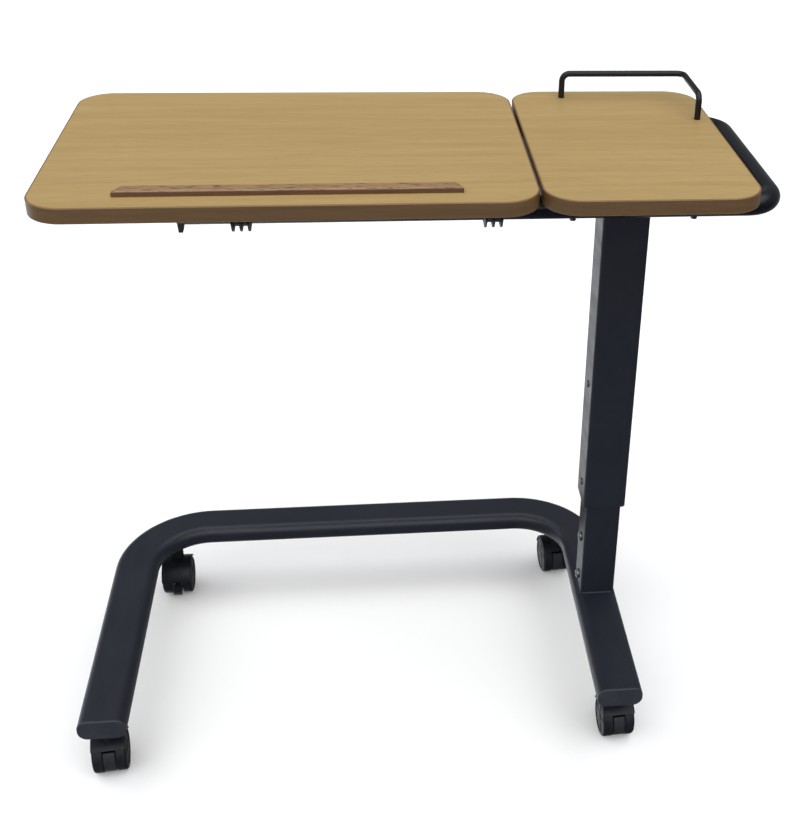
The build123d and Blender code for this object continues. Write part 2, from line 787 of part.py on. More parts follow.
with BuildPart() as main_board:
    board_blank(board_left, main_length)
    drill(clip_screw_points + rack_screw_points, board_screw_diameter, board_bottom, 12)
    drill(ledge_screw_points, board_screw_diameter, board_bottom, board_thickness)
    drill(ledge_screw_points, counterbore, board_bottom, counterbore_depth)
save(main_board, "main_board")

with BuildPart() as side_board:
    board_blank(side_left, side_length)
    side_points = [(x, y) for x in side_screw_x for y in (frame_front_y, frame_rear_y)]
    drill(side_points, side_screw_diameter, board_bottom, side_screw_hold)
    drill(wire_points, board_screw_diameter, board_bottom, board_thickness)
    drill(wire_points, counterbore, board_bottom, counterbore_depth)
save(side_board, "side_board")

for band_name, left, length in (
    ("main_board_edge_band", board_left, main_length),
    ("side_board_edge_band", side_left, side_length),
):
    with BuildPart() as edge_band:
        board_band(left, length)
        fillet(edge_band.faces().filter_by(Axis.Z).edges(), band_round)
        with BuildSketch(Plane.XY.offset(board_bottom)):
            with Locations((left + length / 2, board_front + board_depth / 2)):
                RectangleRounded(length - 2 * band, board_depth - 2 * band, board_corner - band)
        extrude(amount=board_thickness, mode=Mode.SUBTRACT)
    save(edge_band, band_name)

with BuildPart() as ledge:
    with BuildSketch(Plane.XY.offset(table_height)):
        with BuildLine():
            Polyline(
                (ledge_left, ledge_front),
                (ledge_right, ledge_front),
                (ledge_right - ledge_mitre, ledge_front + ledge_depth),
                (ledge_left + ledge_mitre, ledge_front + ledge_depth),
                close=True,
            )
        make_face()
    extrude(amount=ledge_height)
    top_front = ledge.edges().filter_by(Axis.X).group_by(Axis.Z)[-1].sort_by(Axis.Y)[0]
    fillet(top_front, ledge_round)
    drill(ledge_screw_points, board_screw_diameter, table_height, 5)
save(ledge, "ledge_strip")

with BuildPart() as ledge_screws:
    for x, y in ledge_screw_points:
        with BuildSketch(Plane.XY.offset(board_bottom + 0.5)):
            with Locations((x, y)):
                Circle(board_screw_diameter / 2)
        extrude(amount=board_thickness + 4)
        with BuildSketch(Plane.XY.offset(board_bottom + 0.5)):
            with Locations((x, y)):
                Circle(screw_head_radius)
        extrude(amount=2.4)
save(ledge_screws, "ledge_screws")

# ================================================================ wire rail on the side board
wire_z = table_height + wire_height
with BuildPart() as wire_rail:
    with BuildLine() as wire_route:
        FilletPolyline(
            (wire_left_x, wire_rear_y, table_height),
            (wire_left_x, wire_rear_y, wire_z),
            (wire_right_x, wire_rear_y, wire_z),
            (wire_right_x, wire_front_y, wire_z),
            (wire_right_x, wire_front_y, table_height),
            radius=wire_bend,
        )
    with BuildSketch(Plane.XY.offset(table_height)):
        with Locations((wire_left_x, wire_rear_y)):
            Circle(wire_diameter / 2)
    sweep(path=wire_route.line)
    drill(wire_points, board_screw_diameter, table_height, 12)
save(wire_rail, "wire_rail")

with BuildPart() as wire_screws:
    for x, y in wire_points:
        with BuildSketch(Plane.XY.offset(board_bottom + 0.3)):
            with Locations((x, y)):
                Circle(board_screw_diameter / 2)
        extrude(amount=board_thickness + 10)
        with BuildSketch(Plane.XY.offset(board_bottom + 0.3)):
            with Locations((x, y)):
                Circle(screw_head_radius)
        extrude(amount=2.5)
save(wire_screws, "wire_rail_screws")

# ================================================================ hinge clips around the front rail
clip_width = 22.5
clip_inner = frame_radius + 0.08
clip_wall = 2.5
clip_outer = clip_inner + clip_wall
clip_flange = 28.0
clip_flange_thickness = 3.0
rib_tip = 22.0
rib_pitch = 9.0
rib_root_half = 2.2
rib_tip_half = 1.0
rib_arc = 75
with BuildPart() as hinge_clips:
    for x in clip_x:
        with BuildSketch(Plane.YZ.offset(x - clip_width / 2)):
            with Locations((frame_front_y, frame_z)):
                Circle(clip_outer)
            with Locations((frame_front_y, (frame_z + board_bottom) / 2)):
                Rectangle(2 * clip_outer, board_bottom - frame_z)
            with Locations((frame_front_y, board_bottom)):
                Rectangle(2 * clip_flange, clip_flange_thickness, align=(Align.CENTER, Align.MAX))
        extrude(amount=clip_width)
        # three tapered ribs round the underside of the saddle
        for rib_x in (x - rib_pitch, x, x + rib_pitch):
            for direction in (1, -1):
                with BuildSketch(Plane.XZ.offset(-frame_front_y)):
                    with BuildLine():
                        Polyline(
                            (rib_x - rib_root_half, frame_z - clip_outer + 0.3),
                            (rib_x - rib_tip_half, frame_z - rib_tip),
                            (rib_x + rib_tip_half, frame_z - rib_tip),
                            (rib_x + rib_root_half, frame_z - clip_outer + 0.3),
                            close=True,
                        )
                    make_face()
                revolve(axis=Axis((x, frame_front_y, frame_z), (direction, 0, 0)), revolution_arc=rib_arc)
    # bore that turns on the rail, open at the top under the board
    with BuildSketch(Plane.YZ.offset(clip_x[0] - clip_width)):
        with Locations((frame_front_y, frame_z)):
            Circle(clip_inner)
        with Locations((frame_front_y, (frame_z + board_bottom) / 2)):
            Rectangle(2 * clip_inner, board_bottom - frame_z)
    extrude(amount=clip_x[1] - clip_x[0] + 2 * clip_width, mode=Mode.SUBTRACT)
    split(bisect_by=Plane.XY.offset(board_bottom), keep=Keep.BOTTOM)
    drill(clip_screw_points, board_screw_diameter, board_bottom - 4, 5)
save(hinge_clips, "hinge_clips")

# ================================================================ ratchet racks under the main board
rack_width = 14.0
rack_start = 192.0
rack_end = 260.0
rack_root_z = board_bottom - 5.0
rack_tip_z = frame_z + stay_diameter / 2 + 1.0
rack_teeth = 5
rack_pitch = 12.0
with BuildPart() as racks:
    for x in rack_x:
        with BuildSketch(Plane.YZ.offset(x - rack_width / 2)):
            with BuildLine():
                outline = [
                    (frame_front_y + rack_start, board_bottom),
                    (frame_front_y + rack_start, rack_root_z),
                ]
                for tooth in range(rack_teeth):
                    tooth_y = frame_front_y + rack_start + tooth * rack_pitch
                    outline.append((tooth_y + 1.5, rack_tip_z))
                    outline.append((tooth_y + 4.0, rack_tip_z))
                    outline.append((tooth_y + rack_pitch, rack_root_z))
                outline.append((frame_front_y + rack_end, rack_root_z))
                outline.append((frame_front_y + rack_end, board_bottom))
                Polyline(*outline, close=True)
            make_face()
        extrude(amount=rack_width)
    drill(rack_screw_points, board_screw_diameter, rack_tip_z - 1, board_bottom - rack_tip_z + 2)
    drill(rack_screw_points, counterbore, rack_tip_z - 1, rack_root_z + 1.5 - rack_tip_z + 1)
save(racks, "ratchet_racks")

with BuildPart() as board_screws:
    for head_z, points in (
        (board_bottom - clip_flange_thickness, clip_screw_points),
        (rack_root_z + 1.5, rack_screw_points),
    ):
        for x, y in points:
            with BuildSketch(Plane.XY.offset(head_z)):
                with Locations((x, y)):
                    Circle(board_screw_diameter / 2)
            extrude(amount=board_bottom + 11 - head_z)
            with BuildSketch(Plane.XY.offset(head_z)):
                with Locations((x, y)):
                    Circle(screw_head_radius)
            extrude(amount=-2.2)
save(board_screws, "board_screws")

# ================================================================ prop stay
with BuildPart() as stay:
    with BuildLine() as stay_route:
        FilletPolyline(
            (stay_bar_left_x - 4, stay_pivot_y, frame_z),
            (stay_arm_left_x, stay_pivot_y, frame_z),
            (stay_arm_left_x, stay_pivot_y + stay_reach, frame_z),
            (stay_arm_right_x, stay_pivot_y + stay_reach, frame_z),
            (stay_arm_right_x, stay_pivot_y, frame_z),
            (stay_bar_right_x + 4, stay_pivot_y, frame_z),
            radius=stay_bend,
        )
    with BuildSketch(Plane.YZ.offset(stay_bar_left_x - 4)):
        with Locations((stay_pivot_y, frame_z)):
            Circle(stay_diameter / 2)
    sweep(path=stay_route.line)
save(stay, "prop_stay")

# ================================================================ casters, built once round their stem
axle_y = caster_trail
axle_z = wheel_radius
neck_top = leg_bottom - collar_height - 0.2
spine_half = 7.6
cheek_inner = 4.5
pedal_half = 4.2
pedal_wide = 7.4
tab_half = 6.2
hood_round = 1.6
axle_ear = 9.0
rocker_slot = 11.0
rocker_hub = 7.5
wheel_outer = wheel_inner + wheel_width


def polar(radius, angle):
    """Point at a radius and angle about the axle, seen from the side."""
    return (axle_y + radius * cos(radians(angle)), axle_z + radius * sin(radians(angle)))


def sector(inner, outer, start, stop):
    """Ring sector about the axle on the active side-view sketch."""
    middle = (start + stop) / 2
    with BuildLine() as outline:
        ThreePointArc(polar(outer, start), polar(outer, middle), polar(outer, stop))
        Line(polar(outer, stop), polar(inner, stop))
        ThreePointArc(polar(inner, stop), polar(inner, middle), polar(inner, start))
        Line(polar(inner, start), polar(outer, start))
    make_face(outline.edges())


with BuildPart() as wheel_right:
    with BuildSketch(Plane.XZ.offset(-axle_y)):
        with BuildLine():
            Polyline(
                (wheel_outer - 1.2, axle_z + wheel_radius - wheel_round - 1.5),
                (wheel_outer - 0.3, axle_z + 9.0),
                (wheel_outer - 0.3, axle_z + axle_diameter / 2 + 0.08),
                (wheel_inner, axle_z + axle_diameter / 2 + 0.08),
                (wheel_inner, axle_z + wheel_radius - 1.2),
                (wheel_inner + 1.2, axle_z + wheel_radius),
                (wheel_outer - wheel_round, axle_z + wheel_radius),
            )
            RadiusArc(
                (wheel_outer - wheel_round, axle_z + wheel_radius),
                (wheel_outer, axle_z + wheel_radius - wheel_round),
                wheel_round,
            )
            Line(
                (wheel_outer, axle_z + wheel_radius - wheel_round),
                (wheel_outer - 1.2, axle_z + wheel_radius - wheel_round - 1.5),
            )
        make_face()
    revolve(axis=Axis((0, axle_y, axle_z), (1, 0, 0)))

with BuildPart() as wheel_left:
    mirror(wheel_right.part, about=Plane.YZ)

with BuildPart() as axle:
    with BuildSketch(Plane.YZ.offset(-wheel_outer + 1.5)):
        with Locations((axle_y, axle_z)):
            Circle(axle_diameter / 2)
    extrude(amount=2 * (wheel_outer - 1.5))

with BuildPart() as housing:
    # hood over both wheels
    with BuildSketch(Plane.YZ.offset(-wheel_outer)):
        sector(hood_inner, hood_outer, hood_rear, hood_front)
    extrude(amount=2 * wheel_outer)
    hood_rims = housing.faces().filter_by(Axis.X).edges().filter_by(GeomType.CIRCLE)
    fillet(hood_rims.group_by(SortBy.RADIUS)[-1], hood_round)
    # spine between the wheels, and the ears that hold the axle
    with BuildSketch(Plane.YZ.offset(-spine_half)):
        sector(8, hood_inner + 0.6, 20, hood_front)
        with Locations((axle_y, axle_z)):
            Circle(axle_ear)
    extrude(amount=2 * spine_half)
    with BuildSketch(Plane.XY.offset(axle_z + 20)):
        Circle(caster_neck_diameter / 2)
    extrude(amount=neck_top - axle_z - 20)
    chamfer(housing.faces().sort_by(Axis.Z)[-1].edges(), 0.8)
    # keep the neck clear of the wheels
    for side in (-1, 1):
        with BuildSketch(Plane.YZ.offset(side * (wheel_inner - 0.6))):
            with Locations((axle_y, axle_z)):
                Circle(hood_inner)
        extrude(amount=side * wheel_width * 1.5, mode=Mode.SUBTRACT)
    # slot for the hub of the brake rocker between the ears
    with BuildSketch(Plane.YZ.offset(-cheek_inner)):
        with Locations((axle_y, axle_z)):
            Circle(rocker_slot)
    extrude(amount=2 * cheek_inner, mode=Mode.SUBTRACT)
    with BuildSketch(Plane.YZ.offset(-20)):
        with Locations((axle_y, axle_z)):
            Circle(axle_diameter / 2 + 0.02)
    extrude(amount=40, mode=Mode.SUBTRACT)
    with BuildSketch(Plane.XY.offset(stem_low - 1)):
        Circle(stem_pin / 2 + 0.1)
    extrude(amount=60, mode=Mode.SUBTRACT)

with BuildPart() as pedal:
    with BuildSketch(Plane.YZ.offset(-pedal_half)):
        with Locations((axle_y, axle_z)):
            Circle(rocker_hub)
        sector(rocker_hub - 1.5, 22, 196, 344)
        with Locations((axle_y, axle_z)):
            Circle(axle_diameter / 2 + 0.08, mode=Mode.SUBTRACT)
    extrude(amount=2 * pedal_half)
    # front shield between the wheels, where the foot presses to brake
    with BuildSketch(Plane.YZ.offset(-pedal_wide)):
        sector(21, 28, hood_front + 5, 224)
    extrude(amount=2 * pedal_wide)
    fillet(pedal.edges().filter_by(Axis.X).group_by(Axis.Y)[0], 1.5)
    # rear tab outside the treads, where it lifts to release
    with BuildSketch(Plane.YZ.offset(-tab_half)):
        sector(20, 33.5, 322, 340)
    extrude(amount=2 * tab_half)

for corner_name, (stem_x, stem_y, turn) in casters.items():
    place = Location((stem_x, stem_y, 0), (0, 0, turn))
    for piece_name, template in (
        ("caster_housing", housing),
        ("wheel_left", wheel_left),
        ("wheel_right", wheel_right),
        ("caster_axle", axle),
        ("brake_pedal", pedal),
    ):
        with BuildPart() as placed:
            with Locations(place):
                add(template.part)
        save(placed, f"{corner_name}_{piece_name}")
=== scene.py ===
"""Overbed table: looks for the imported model, in its own frame and in metres."""
import json
import math

import bmesh
import bpy
from mathutils import Matrix, Vector


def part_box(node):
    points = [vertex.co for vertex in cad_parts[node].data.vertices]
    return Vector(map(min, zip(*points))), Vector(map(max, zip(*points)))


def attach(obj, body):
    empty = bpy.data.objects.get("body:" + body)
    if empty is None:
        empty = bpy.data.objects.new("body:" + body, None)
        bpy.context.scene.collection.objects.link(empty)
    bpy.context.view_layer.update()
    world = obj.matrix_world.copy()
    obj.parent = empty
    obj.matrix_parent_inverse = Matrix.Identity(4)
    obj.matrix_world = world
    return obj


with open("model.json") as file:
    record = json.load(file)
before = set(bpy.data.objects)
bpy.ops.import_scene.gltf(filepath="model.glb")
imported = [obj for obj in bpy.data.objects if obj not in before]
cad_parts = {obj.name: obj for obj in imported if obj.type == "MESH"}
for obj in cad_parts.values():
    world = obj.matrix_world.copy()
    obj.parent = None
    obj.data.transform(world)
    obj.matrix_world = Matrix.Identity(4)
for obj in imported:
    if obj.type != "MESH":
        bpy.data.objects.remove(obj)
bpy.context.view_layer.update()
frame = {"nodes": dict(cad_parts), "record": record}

nodes = frame["nodes"]
CORNERS = ("front_left", "front_right", "rear_left", "rear_right")

# ------------------------------------------------------------------ camera
PHOTO_WIDTH, PHOTO_HEIGHT = 800, 820
FOCAL_PIXELS = 1263.91
CENTRE_X, CENTRE_Y = 528.07, 385.45
CAMERA_PLACE = Vector((-0.0477, -1.46512, 1.33132))
YAW, PITCH, ROLL = 0.142222, 0.529800, 0.040137


def make_camera():
    forward = Vector((math.sin(YAW) * math.cos(PITCH), math.cos(YAW) * math.cos(PITCH), -math.sin(PITCH)))
    right = Vector((math.cos(YAW), -math.sin(YAW), 0.0))
    up = right.cross(forward)
    right_rolled = right * math.cos(ROLL) + up * math.sin(ROLL)
    up_rolled = up * math.cos(ROLL) - right * math.sin(ROLL)
    data = bpy.data.cameras.new("camera")
    data.sensor_fit = "HORIZONTAL"
    data.sensor_width = 36.0
    data.lens = FOCAL_PIXELS / PHOTO_WIDTH * data.sensor_width
    data.shift_x = (PHOTO_WIDTH / 2 - CENTRE_X) / PHOTO_WIDTH
    data.shift_y = (CENTRE_Y - PHOTO_HEIGHT / 2) / PHOTO_WIDTH
    data.clip_start, data.clip_end = 0.05, 30.0
    camera = bpy.data.objects.new("camera", data)
    bpy.context.scene.collection.objects.link(camera)
    turn = Matrix((right_rolled, up_rolled, -forward)).transposed().to_4x4()
    camera.matrix_world = Matrix.Translation(CAMERA_PLACE) @ turn
    bpy.context.scene.camera = camera


make_camera()


# ------------------------------------------------------------------ material helpers
class Shader:
    """A node material with its Principled shader, and short calls to add nodes to it."""

    def __init__(self, name):
        self.material = bpy.data.materials.new(name)
        self.material.use_nodes = True
        self.tree = self.material.node_tree
        self.tree.nodes.clear()
        self.out = self.tree.nodes.new("ShaderNodeOutputMaterial")
        self.bsdf = self.tree.nodes.new("ShaderNodeBsdfPrincipled")
        self.link(self.bsdf.outputs["BSDF"], self.out.inputs["Surface"])
        self.coords = self.tree.nodes.new("ShaderNodeTexCoord").outputs["Object"]

    def link(self, a, b):
        self.tree.links.new(a, b)

    def set(self, **values):
        for key, value in values.items():
            self.bsdf.inputs[key.replace("_", " ")].default_value = value

    def put(self, value, socket):
        """A number or a colour goes into a socket as it is, an output is linked."""
        if isinstance(value, bpy.types.NodeSocket):
            self.link(value, socket)
        else:
            socket.default_value = value

    def mapping(self, scale, rotation=(0, 0, 0), source=None):
        node = self.tree.nodes.new("ShaderNodeMapping")
        self.link(source or self.coords, node.inputs["Vector"])
        node.inputs["Scale"].default_value = scale
        node.inputs["Rotation"].default_value = rotation
        return node.outputs["Vector"]

    def noise(self, scale, detail=4.0, roughness=0.55, vector=None, distortion=0.0):
        node = self.tree.nodes.new("ShaderNodeTexNoise")
        self.link(vector or self.coords, node.inputs["Vector"])
        node.inputs["Scale"].default_value = scale
        node.inputs["Detail"].default_value = detail
        node.inputs["Roughness"].default_value = roughness
        node.inputs["Distortion"].default_value = distortion
        return node.outputs["Fac"]

    def voronoi(self, scale):
        node = self.tree.nodes.new("ShaderNodeTexVoronoi")
        self.link(self.coords, node.inputs["Vector"])
        node.inputs["Scale"].default_value = scale
        return node.outputs["Distance"]

    def span(self, fac, low, high, from_low=0.0, from_high=1.0):
        node = self.tree.nodes.new("ShaderNodeMapRange")
        self.link(fac, node.inputs["Value"])
        node.inputs["From Min"].default_value = from_low
        node.inputs["From Max"].default_value = from_high
        node.inputs["To Min"].default_value = low
        node.inputs["To Max"].default_value = high
        return node.outputs["Result"]

    def mix(self, fac, a, b, blend="MIX"):
        node = self.tree.nodes.new("ShaderNodeMix")
        node.data_type = "RGBA"
        node.blend_type = blend
        self.put(fac, node.inputs["Factor"])
        for value, socket in ((a, node.inputs["A"]), (b, node.inputs["B"])):
            self.put((*value, 1.0) if isinstance(value, tuple) and len(value) == 3 else value, socket)
        return node.outputs["Result"]

    def math(self, operation, a, b):
        node = self.tree.nodes.new("ShaderNodeMath")
        node.operation = operation
        self.put(a, node.inputs[0])
        self.put(b, node.inputs[1])
        return node.outputs["Value"]

    def split(self, source=None):
        node = self.tree.nodes.new("ShaderNodeSeparateXYZ")
        self.link(source or self.coords, node.inputs["Vector"])
        return node.outputs

    def normal_split(self):
        node = self.tree.nodes.new("ShaderNodeTexCoord")
        return self.split(node.outputs["Normal"])

    def bump(self, height, distance, strength=1.0, under=None):
        node = self.tree.nodes.new("ShaderNodeBump")
        self.link(height, node.inputs["Height"])
        node.inputs["Distance"].default_value = distance
        node.inputs["Strength"].default_value = strength
        if under is not None:
            self.link(under, node.inputs["Normal"])
        return node.outputs["Normal"]

    def colour(self, value):
        self.put(value, self.bsdf.inputs["Base Color"])

    def rough(self, value):
        self.put(value, self.bsdf.inputs["Roughness"])

    def normal(self, value):
        self.link(value, self.bsdf.inputs["Normal"])


def powder_coat(name, tint, rough, peel=1.0, worn=0.5, gloss=0.36, hand_height=9.0):
    """Satin powder coat: orange peel and dust specks, darker and smoother above hand_height."""
    s = Shader(name)
    patches = s.noise(9.0, 3.0)
    specks = s.noise(900.0, 2.0)
    handled = s.span(s.split()["Z"], 0.0, 1.0, hand_height - 0.004, hand_height)
    base = s.mix(s.span(patches, 0.0, 0.7, 0.3, 0.75), tint, tuple(c * 1.35 for c in tint))
    base = s.mix(handled, base, tuple(c * 0.45 for c in tint))
    dust = s.span(s.noise(420.0, 3.0, 0.7), 0.0, 0.10 * worn, 0.62, 0.80)
    s.colour(s.mix(dust, base, (0.30, 0.30, 0.31)))
    scuffs = s.noise(60.0, 6.0, 0.7, s.mapping((1.0, 0.22, 1.0)))
    satin = s.math("ADD", s.span(scuffs, rough - 0.07, rough + 0.10, 0.3, 0.7), s.span(specks, -0.02, 0.02))
    s.rough(s.math("MULTIPLY", satin, s.span(handled, 1.0, 0.5)))
    peel_bump = s.bump(s.noise(260.0, 2.0, 0.5), 0.00022 * peel, 0.35)
    s.normal(s.bump(specks, 0.00006 * peel, 0.4, peel_bump))
    s.set(Specular_IOR_Level=gloss)
    return s.material


def moulded_plastic(name, tint, rough, grain=1400.0, depth=0.00005, dusty=0.12, gloss=0.4):
    """Moulded plastic: spark-eroded grain, flow mottling, dust in the low places."""
    s = Shader(name)
    mottle = s.noise(26.0, 4.0)
    base = s.mix(s.span(mottle, 0.0, 1.0, 0.3, 0.7), tint, tuple(c * 1.3 + 0.002 for c in tint))
    dust = s.span(s.noise(180.0, 5.0, 0.7), 0.0, dusty, 0.5, 0.75)
    s.colour(s.mix(dust, base, (0.22, 0.21, 0.20)))
    s.rough(s.span(s.noise(70.0, 5.0, 0.65), rough - 0.08, rough + 0.1, 0.3, 0.7))
    grain_bump = s.bump(s.voronoi(grain), depth, 0.5)
    s.normal(s.bump(mottle, depth * 4, 0.15, grain_bump))
    s.set(Specular_IOR_Level=gloss)
    return s.material


def plated_steel(name, tint, rough, stretch=(1.0, 1.0, 1.0)):
    """Zinc or chrome plate: turned lines, cloudy plating, a few fine scratches."""
    s = Shader(name)
    cloud = s.noise(140.0, 3.0)
    s.colour(s.mix(s.span(cloud, 0.0, 1.0, 0.3, 0.7), tuple(c * 0.8 for c in tint), tint))
    lines = s.noise(900.0, 3.0, 0.6, s.mapping(stretch))
    s.rough(s.math("ADD", s.span(cloud, rough - 0.05, rough + 0.08, 0.3, 0.7), s.span(lines, -0.04, 0.04)))
    s.normal(s.bump(lines, 0.00003, 0.5))
    s.set(Metallic=1.0)
    return s.material


def beech(name, light, dark, seed_offset, rough=0.34):
    """Printed beech laminate: long soft grain along X, short flecks and pores, a light satin pearl finish."""
    s = Shader(name)
    shift = s.tree.nodes.new("ShaderNodeVectorMath")
    shift.operation = "ADD"
    s.link(s.coords, shift.inputs[0])
    shift.inputs[1].default_value = (seed_offset, seed_offset * 0.37, 0.0)
    moved = shift.outputs["Vector"]
    broad = s.noise(3.2, 3.0, 0.5, s.mapping((0.55, 4.2, 4.2), source=moved), 0.35)
    bands = s.noise(9.0, 5.0, 0.62, s.mapping((0.5, 9.0, 9.0), source=moved), 0.25)
    fine = s.noise(60.0, 6.0, 0.68, s.mapping((0.35, 14.0, 14.0), source=moved), 0.1)
    flecks = s.noise(240.0, 2.0, 0.5, s.mapping((0.16, 2.6, 2.6), source=moved))
    base = s.mix(s.span(broad, 0.0, 1.0, 0.30, 0.72), light, tuple(0.5 * (a + b) for a, b in zip(light, dark)))
    base = s.mix(s.span(bands, 0.0, 0.85, 0.42, 0.72), base, dark)
    base = s.mix(s.span(fine, 0.0, 0.42, 0.48, 0.76), base, tuple(c * 0.8 for c in dark))
    base = s.mix(s.span(flecks, 0.0, 0.5, 0.60, 0.78), base, tuple(c * 0.62 for c in dark))
    s.colour(base)
    satin = s.span(fine, rough - 0.03, rough + 0.07, 0.3, 0.7)
    s.rough(s.math("ADD", satin, s.span(s.noise(14.0, 4.0), -0.03, 0.04)))
    pores = s.bump(flecks, 0.00004, 0.35)
    s.normal(s.bump(fine, 0.00006, 0.25, pores))
    s.set(Specular_IOR_Level=0.45, Coat_Weight=0.06, Coat_Roughness=0.28)
    return s.material


def edge_band(name, light, dark):
    """Wood-look edge band: grain runs round the edge, with a painted highlight line along its top and bottom
    edges; the colours passed in are darkened as painted shade.
    """
    s = Shader(name)
    z = s.split()["Z"]
    grain = s.noise(60.0, 6.0, 0.65, s.mapping((0.3, 0.3, 16.0)), 0.2)
    streak = s.noise(14.0, 4.0, 0.6, s.mapping((0.35, 0.35, 10.0)))
    base = s.mix(s.span(grain, 0.0, 1.0, 0.36, 0.66), light, dark)
    base = s.mix(s.span(streak, 0.0, 0.45, 0.45, 0.75), base, tuple(c * 0.75 for c in dark))
    # painted highlight: a thin line at the band's top and bottom edges is mixed paler, standing in for light
    # caught by the rounded edge
    low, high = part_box("main_board_edge_band")
    middle = (low.z + high.z) / 2
    half = (high.z - low.z) / 2
    off = s.math("ABSOLUTE", s.math("SUBTRACT", z, middle), 0.0)
    painted_edge_highlight = s.span(off, 0.0, 0.55, half - 0.0012, half - 0.0003)
    s.colour(s.mix(painted_edge_highlight, base, tuple(min(1.0, c * 2.1) for c in light)))
    s.rough(s.span(grain, 0.32, 0.46, 0.3, 0.7))
    s.normal(s.bump(grain, 0.00006, 0.35))
    return s.material


def brown_wood(name):
    """Brown stained strip: short dark pores on its top, and painted shade on its sides and front, which take a
    darker copy of the stain colour.
    """
    s = Shader(name)
    n = s.normal_split()
    grain = s.noise(50.0, 6.0, 0.65, s.mapping((0.35, 7.0, 7.0)), 0.2)
    pores = s.noise(330.0, 2.0, 0.5, s.mapping((0.2, 1.5, 1.5)))
    # painted light: the top gets a lit copy of the stain colour and the front and sides a darker, shaded copy,
    # blended by how far each face turns up
    top = s.mix(s.span(grain, 0.0, 1.0, 0.35, 0.7), (0.34, 0.206, 0.098), (0.23, 0.130, 0.060))
    top = s.mix(s.span(pores, 0.0, 0.9, 0.54, 0.62), top, (0.10, 0.055, 0.032))
    front = s.mix(s.span(grain, 0.0, 1.0, 0.35, 0.7), (0.130, 0.062, 0.028), (0.085, 0.039, 0.018))
    upward = s.span(n["Z"], 0.0, 1.0, 0.35, 0.75)
    s.colour(s.mix(upward, front, top))
    s.rough(s.span(grain, 0.36, 0.52, 0.3, 0.7))
    s.normal(s.bump(pores, 0.00015, 0.5, s.bump(grain, 0.0001, 0.3)))
    return s.material


def caster_tread(name):
    """Dark nylon wheel: fine turning lines, a greyer rubbed band where it rolls."""
    s = Shader(name)
    rub = s.noise(90.0, 5.0, 0.7)
    base = s.mix(s.span(rub, 0.0, 0.6, 0.4, 0.75), (0.0070, 0.0074, 0.0110), (0.0165, 0.0170, 0.0215))
    s.colour(base)
    s.rough(s.span(rub, 0.38, 0.58, 0.3, 0.7))
    s.normal(s.bump(s.noise(700.0, 3.0), 0.00005, 0.4))
    s.set(Specular_IOR_Level=0.22)
    return s.material


BLACK = (0.0108, 0.0124, 0.0205)
COLUMN_TOP = 0.764
looks = {
    "black_powder_coat": powder_coat("black_powder_coat", BLACK, 0.38, hand_height=COLUMN_TOP),
    "black_wire": powder_coat("black_wire", (0.0055, 0.0058, 0.0078), 0.30, 0.6, 0.2, 0.3),
    "black_plastic": moulded_plastic("black_plastic", (0.017, 0.0195, 0.029), 0.44, dusty=0.05),
    "zinc_fasteners": plated_steel("zinc_fasteners", (0.26, 0.265, 0.285), 0.36),
    "bright_rod": plated_steel("bright_rod", (0.70, 0.71, 0.74), 0.14, (1.0, 1.0, 8.0)),
    "gas_spring_paint": powder_coat("gas_spring_paint", (0.028, 0.028, 0.031), 0.25, 0.4),
    "beech_laminate": beech("beech_laminate", (0.440, 0.302, 0.122), (0.355, 0.231, 0.085), 0.0),
    # painted shade: these edge band colours are darkened to stand in for the shade on the board edges; the
    # band's own tone is lighter
    "brown_edge_band": edge_band("brown_edge_band", (0.118, 0.065, 0.0235), (0.090, 0.047, 0.0165)),
    "brown_wood_strip": brown_wood("brown_wood_strip"),
    "caster_plastic": moulded_plastic(
        "caster_plastic", (0.0062, 0.0068, 0.0105), 0.42, 1700.0, 0.00004, 0.03, 0.22
    ),
    "caster_tread": caster_tread("caster_tread"),
    "caster_axle_steel": plated_steel("caster_axle_steel", (0.50, 0.50, 0.52), 0.33),
    "brake_plastic": moulded_plastic(
        "brake_plastic", (0.0150, 0.0155, 0.0195), 0.45, 1500.0, 0.00005, 0.04, 0.25
    ),
}
for part in frame["record"]["subparts"]:
    cad = nodes[part["node"]]
    cad.data.materials.clear()
    cad.data.materials.append(looks[part["material_slot"]])


# ------------------------------------------------------------------ weld beads and wheel caps
def piece(name, mesh, look, body):
    """A detail in the row frame that takes a record finish and rides on a body."""
    mesh.materials.append(looks[look])
    obj = bpy.data.objects.new(name, mesh)
    bpy.context.scene.collection.objects.link(obj)
    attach(obj, body)
    return obj


def rounded_loop(low, high, corner, step=0.0011):
    """Points and outward directions round a rounded rectangle, evenly spaced."""
    half_x, half_y = (high.x - low.x) / 2 - corner, (high.y - low.y) / 2 - corner
    centre = Vector(((low.x + high.x) / 2, (low.y + high.y) / 2, 0.0))
    loop = []
    for sign_x, sign_y, start in ((1, 1, 0), (-1, 1, 90), (-1, -1, 180), (1, -1, 270)):
        pivot = centre + Vector((sign_x * half_x, sign_y * half_y, 0.0))
        count = max(3, int(math.radians(90) * corner / step))
        for i in range(count + 1):
            angle = math.radians(start + 90.0 * i / count)
            out = Vector((math.cos(angle), math.sin(angle), 0.0))
            loop.append((pivot + out * corner, out))
    filled = []
    for (point, out), (after, after_out) in zip(loop, loop[1:] + loop[:1]):
        count = max(1, round((after - point).length / step))
        for i in range(count):
            filled.append((point.lerp(after, i / count), out.lerp(after_out, i / count).normalized()))
    return filled


